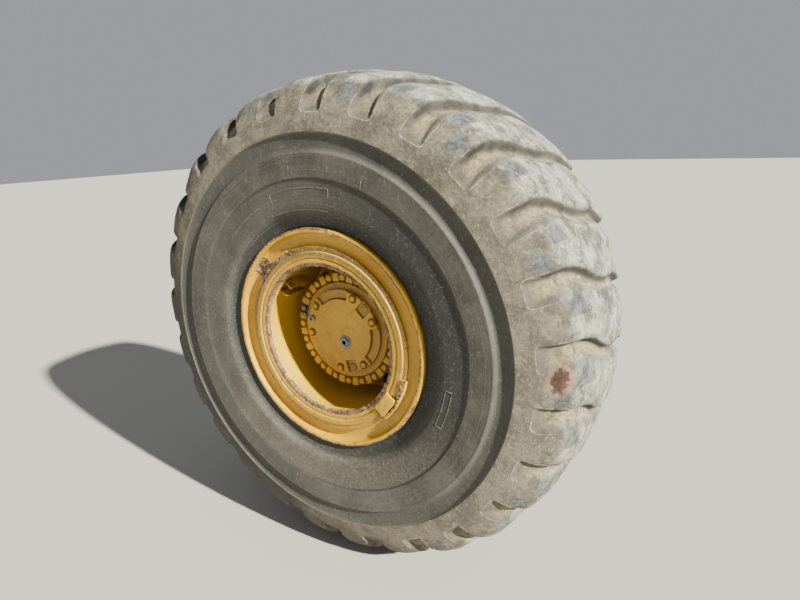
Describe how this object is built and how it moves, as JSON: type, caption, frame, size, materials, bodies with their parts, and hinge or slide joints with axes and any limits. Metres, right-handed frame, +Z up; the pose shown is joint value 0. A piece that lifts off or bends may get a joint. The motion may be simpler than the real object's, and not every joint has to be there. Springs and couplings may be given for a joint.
{
  "type": "articulated dump truck wheel end",
  "caption": "Worn lug tyre on a multi-piece rim, bolted to a planetary hub that turns freely on a flanged spindle with its brake housing.",
  "frame": {"origin": "centre of the spindle flange's inboard face, on the wheel's axis", "axes": "+Y points inboard along the wheel's axis, towards the axle; -Y is the outboard side; +Z up; +X to the right seen from outboard"},
  "size_m": [1.8394, 0.775, 1.8398],
  "materials": {
    "worn_paint": "worn satin",
    "rusty_steel": "rusty",
    "cast_steel": "rough",
    "plug_steel": "oily",
    "valve_brass": "dull",
    "tyre": "dusty"
  },
  "bodies": {
    "axle_end": {"spindle": "cast_steel", "brake_housing": "worn_paint", "brake_ports": "rusty_steel"},
    "wheel": {"tyre": "tyre", "rim_base": "worn_paint", "outer_flange": "worn_paint", "inner_flange": "worn_paint", "bead_seat_band": "worn_paint", "lock_ring": "rusty_steel", "driver_key": "worn_paint", "driver_stop": "rusty_steel", "wheel_disc": "worn_paint", "wheel_nuts": "rusty_steel", "hub": "worn_paint", "hub_seal": "rusty_steel", "planet_housing": "worn_paint", "housing_bolts": "worn_paint", "hub_cover": "worn_paint", "cover_bolts": "worn_paint", "middle_plug": "plug_steel", "level_plug": "plug_steel", "valve_stem": "valve_brass", "valve_guard": "worn_paint"}
  },
  "joints": [
    {"name": "wheel_spin", "type": "hinge", "parent": "axle_end", "child": "wheel", "pos_m": [0, -0.2, 0], "axis": [0, 1, 0], "continuous": true}
  ]
}
